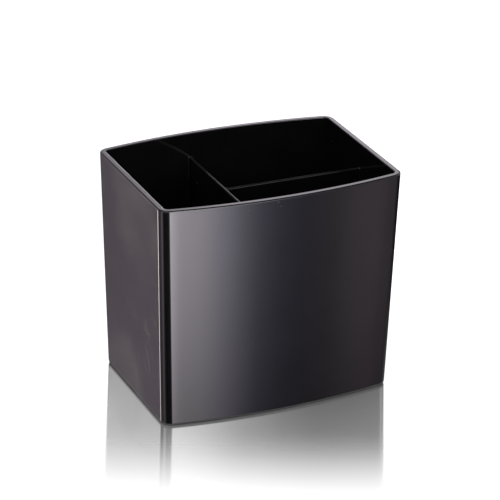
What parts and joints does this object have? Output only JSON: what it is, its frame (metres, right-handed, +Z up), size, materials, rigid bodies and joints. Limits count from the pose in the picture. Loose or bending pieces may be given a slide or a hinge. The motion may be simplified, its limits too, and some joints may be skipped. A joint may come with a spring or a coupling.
{
  "type": "desk organizer",
  "caption": "Open-topped desk pencil cup with bowed front and back walls, drafted sides and low dividers that split it into one long and two short compartments.",
  "frame": {"origin": "on the surface the organizer stands on, under the middle of the cup", "axes": "+X across the width towards the side with two compartments, +Y towards the back, +Z up"},
  "size_m": [0.12, 0.0896, 0.109],
  "materials": {
    "shell_plastic": "gloss",
    "divider_plastic": "gloss",
    "foot_rubber": "matte"
  },
  "bodies": {
    "root": {"cup_shell": "shell_plastic", "long_divider": "divider_plastic", "cross_divider": "divider_plastic", "foot_front_left": "foot_rubber", "foot_front_right": "foot_rubber", "foot_back_left": "foot_rubber", "foot_back_right": "foot_rubber"}
  },
  "joints": []
}
